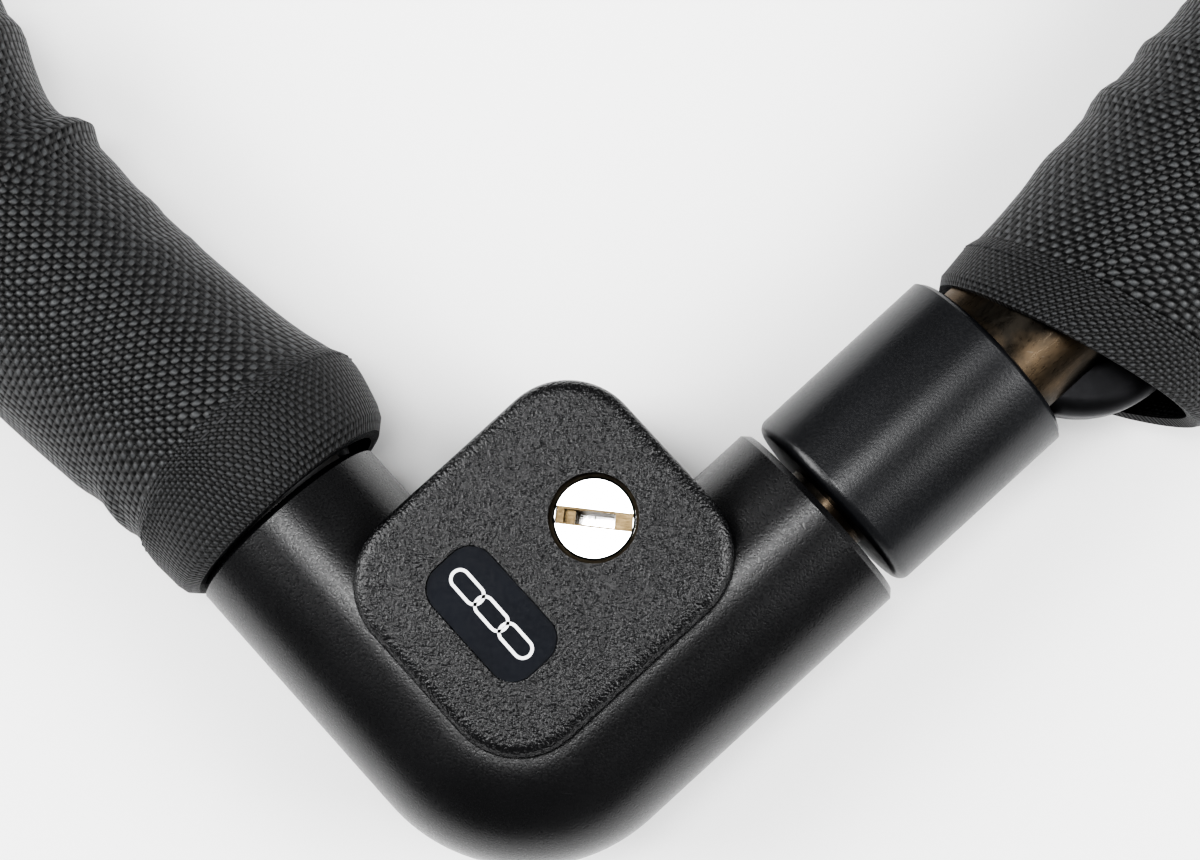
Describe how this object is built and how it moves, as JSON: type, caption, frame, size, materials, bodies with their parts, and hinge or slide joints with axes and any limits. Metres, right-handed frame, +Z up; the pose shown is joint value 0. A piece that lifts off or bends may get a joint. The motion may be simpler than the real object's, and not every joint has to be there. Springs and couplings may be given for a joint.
{
  "type": "chain lock",
  "caption": "L-shaped keyed lock housing with a sliding bolt and a square-link hardened chain that runs in a woven sleeve in a loop.",
  "frame": {"origin": "centre of the flat rear pad of the lock housing, under the middle of the raised face", "axes": "+Z up out of the face with the keyway; the bolt leg runs along +X+Y and the chain leg along -X+Y; the chain loop lies on the +Y side"},
  "size_m": [0.2677, 0.305, 0.033],
  "materials": {
    "shell_plastic": "satin moulded black, fine grain",
    "cap_plastic": "coarse sparkling moulded grain",
    "badge": "dark blue-black, satin, plain",
    "lock_steel": "machined hardened steel",
    "barrel_brass": "turned",
    "plug_chrome": "bright nickel chrome",
    "wafer_brass": "stamped",
    "spring_steel": "drawn wire",
    "bolt_steel": "bronze-black oxide, satin",
    "collar_plastic": "smooth satin black",
    "seal_rubber": "matt",
    "chain_steel": "zinc-plated hardened steel",
    "sleeve_nylon": "coarse plain-woven black nylon",
    "hem_tape": "fine woven binding tape, stitched",
    "screw_steel": "zinc plated"
  },
  "bodies": {
    "lock": {"front_shell": "shell_plastic", "rear_shell": "shell_plastic", "face_cap": "cap_plastic", "badge_plate": "badge", "lock_body": "lock_steel", "cylinder_barrel": "barrel_brass", "mechanism_plate": "lock_steel", "plate_screws": "screw_steel", "shell_screws": "screw_steel", "anchor_pin": "chain_steel", "socket_seal": "seal_rubber", "slide_spring": "spring_steel", "sleeve_hem_left": "hem_tape"},
    "plug": {"cylinder_plug": "plug_chrome", "wafers": "wafer_brass", "wafer_springs": "spring_steel", "plug_clip": "spring_steel", "drive_cam": "lock_steel", "cam_screw": "screw_steel"},
    "slide": {"locking_slide": "lock_steel"},
    "bolt": {"bolt": "bolt_steel", "bolt_collar": "collar_plastic", "link_pin": "chain_steel"},
    "link_01": {"chain_link_01": "chain_steel", "sleeve_01": "sleeve_nylon"},
    "link_02": {"chain_link_02": "chain_steel", "sleeve_02": "sleeve_nylon"},
    "link_03": {"chain_link_03": "chain_steel", "sleeve_03": "sleeve_nylon"},
    "link_04": {"chain_link_04": "chain_steel", "sleeve_04": "sleeve_nylon"},
    "link_05": {"chain_link_05": "chain_steel", "sleeve_05": "sleeve_nylon"},
    "link_06": {"chain_link_06": "chain_steel", "sleeve_06": "sleeve_nylon"},
    "link_07": {"chain_link_07": "chain_steel", "sleeve_07": "sleeve_nylon"},
    "link_08": {"chain_link_08": "chain_steel", "sleeve_08": "sleeve_nylon"},
    "link_09": {"chain_link_09": "chain_steel", "sleeve_09": "sleeve_nylon"},
    "link_10": {"chain_link_10": "chain_steel", "sleeve_10": "sleeve_nylon"},
    "link_11": {"chain_link_11": "chain_steel", "sleeve_11": "sleeve_nylon"},
    "link_12": {"chain_link_12": "chain_steel", "sleeve_12": "sleeve_nylon"},
    "link_13": {"chain_link_13": "chain_steel", "sleeve_13": "sleeve_nylon"},
    "link_14": {"chain_link_14": "chain_steel", "sleeve_14": "sleeve_nylon"},
    "link_15": {"chain_link_15": "chain_steel", "sleeve_15": "sleeve_nylon"},
    "link_16": {"chain_link_16": "chain_steel", "sleeve_16": "sleeve_nylon"},
    "link_17": {"chain_link_17": "chain_steel", "sleeve_17": "sleeve_nylon", "sleeve_hem_right": "hem_tape"}
  },
  "joints": [
    {"name": "plug_turn", "type": "hinge", "parent": "lock", "child": "plug", "pos_m": [0.00583, 0.00619, 0.0314], "axis": [0, 0, 1], "range_deg": [0, 90]},
    {"name": "slide_throw", "type": "slide", "parent": "lock", "child": "slide", "axis": [0.7071, -0.7071, 0], "range_m": [0, 0.0057], "deforming": ["slide_spring"]},
    {"name": "bolt_pull", "type": "slide", "parent": "lock", "child": "bolt", "axis": [0.7071, 0.7071, 0], "range_m": [0, 0.036]},
    {"name": "chain_hinge_01", "type": "hinge", "parent": "lock", "child": "link_01", "pos_m": [-0.04048, 0.01149, 0.016], "axis": [0, 0, 1], "range_deg": [-4.2, 0.5]},
    {"name": "chain_hinge_02", "type": "hinge", "parent": "link_01", "child": "link_02", "pos_m": [-0.06161, 0.0283, 0.016], "axis": [0, 0, 1], "range_deg": [-4.2, 0.5]},
    {"name": "chain_hinge_03", "type": "hinge", "parent": "link_02", "child": "link_03", "pos_m": [-0.09868, 0.06044, 0.016], "axis": [0, 0, 1], "range_deg": [-2.09, 0.5]},
    {"name": "chain_hinge_04", "type": "hinge", "parent": "link_03", "child": "link_04", "pos_m": [-0.1131, 0.08327, 0.016], "axis": [0, 0, 1], "range_deg": [-0.5, 4.2]},
    {"name": "chain_hinge_05", "type": "hinge", "parent": "link_04", "child": "link_05", "pos_m": [-0.12475, 0.13095, 0.016], "axis": [0, 0, 1], "range_deg": [-0.5, 4.2]},
    {"name": "chain_hinge_06", "type": "hinge", "parent": "link_05", "child": "link_06", "pos_m": [-0.12247, 0.15785, 0.016], "axis": [0, 0, 1], "range_deg": [-0.5, 3.16]},
    {"name": "chain_hinge_07", "type": "hinge", "parent": "link_06", "child": "link_07", "pos_m": [-0.10296, 0.20289, 0.016], "axis": [0, 0, 1], "range_deg": [-0.5, 1.47]},
    {"name": "chain_hinge_08", "type": "hinge", "parent": "link_07", "child": "link_08", "pos_m": [-0.0849, 0.22296, 0.016], "axis": [0, 0, 1], "range_deg": [-0.5, 1.46]},
    {"name": "chain_hinge_17", "type": "hinge", "parent": "bolt", "child": "link_17", "pos_m": [0.06488, 0.03624, 0.016], "axis": [0, 0, 1], "range_deg": [-3.87, 0.5]},
    {"name": "chain_hinge_16", "type": "hinge", "parent": "link_17", "child": "link_16", "pos_m": [0.08168, 0.05737, 0.016], "axis": [0, 0, 1], "range_deg": [-0.5, 4.03]},
    {"name": "chain_hinge_15", "type": "hinge", "parent": "link_16", "child": "link_15", "pos_m": [0.10602, 0.09977, 0.016], "axis": [0, 0, 1], "range_deg": [-0.5, 4.2]},
    {"name": "chain_hinge_14", "type": "hinge", "parent": "link_15", "child": "link_14", "pos_m": [0.11096, 0.12632, 0.016], "axis": [0, 0, 1], "range_deg": [-0.5, 4.2]},
    {"name": "chain_hinge_13", "type": "hinge", "parent": "link_14", "child": "link_13", "pos_m": [0.1041, 0.17492, 0.016], "axis": [0, 0, 1], "range_deg": [-1.37, 0.5]},
    {"name": "chain_hinge_12", "type": "hinge", "parent": "link_13", "child": "link_12", "pos_m": [0.09202, 0.19906, 0.016], "axis": [0, 0, 1], "range_deg": [-1.68, 0.5]},
    {"name": "chain_hinge_11", "type": "hinge", "parent": "link_12", "child": "link_11", "pos_m": [0.05721, 0.23367, 0.016], "axis": [0, 0, 1], "range_deg": [-1.45, 0.5]},
    {"name": "chain_hinge_10", "type": "hinge", "parent": "link_11", "child": "link_10", "pos_m": [0.033, 0.24561, 0.016], "axis": [0, 0, 1], "range_deg": [-1.28, 0.5]},
    {"name": "chain_hinge_09", "type": "hinge", "parent": "link_10", "child": "link_09", "pos_m": [-0.01564, 0.25219, 0.016], "axis": [0, 0, 1], "range_deg": [-1.25, 0.5]}
  ],
  "couplings": [
    {"joint": "slide_throw", "follows": "plug_turn", "m_per_rad": 0.0036013},
    {"joint": "chain_hinge_01", "follows": "bolt_pull", "rad_per_m": -1.7938},
    {"joint": "chain_hinge_02", "follows": "bolt_pull", "rad_per_m": -1.7938},
    {"joint": "chain_hinge_03", "follows": "bolt_pull", "rad_per_m": -0.77012},
    {"joint": "chain_hinge_04", "follows": "bolt_pull", "rad_per_m": 1.7938},
    {"joint": "chain_hinge_05", "follows": "bolt_pull", "rad_per_m": 1.7938},
    {"joint": "chain_hinge_06", "follows": "bolt_pull", "rad_per_m": 1.2872},
    {"joint": "chain_hinge_07", "follows": "bolt_pull", "rad_per_m": 0.47231},
    {"joint": "chain_hinge_08", "follows": "bolt_pull", "rad_per_m": 0.46759},
    {"joint": "chain_hinge_17", "follows": "bolt_pull", "rad_per_m": -1.6345},
    {"joint": "chain_hinge_16", "follows": "bolt_pull", "rad_per_m": 1.7127},
    {"joint": "chain_hinge_15", "follows": "bolt_pull", "rad_per_m": 1.7938},
    {"joint": "chain_hinge_14", "follows": "bolt_pull", "rad_per_m": 1.7938},
    {"joint": "chain_hinge_13", "follows": "bolt_pull", "rad_per_m": -0.42329},
    {"joint": "chain_hinge_12", "follows": "bolt_pull", "rad_per_m": -0.5745},
    {"joint": "chain_hinge_11", "follows": "bolt_pull", "rad_per_m": -0.461},
    {"joint": "chain_hinge_10", "follows": "bolt_pull", "rad_per_m": -0.37575},
    {"joint": "chain_hinge_09", "follows": "bolt_pull", "rad_per_m": -0.36208}
  ]
}
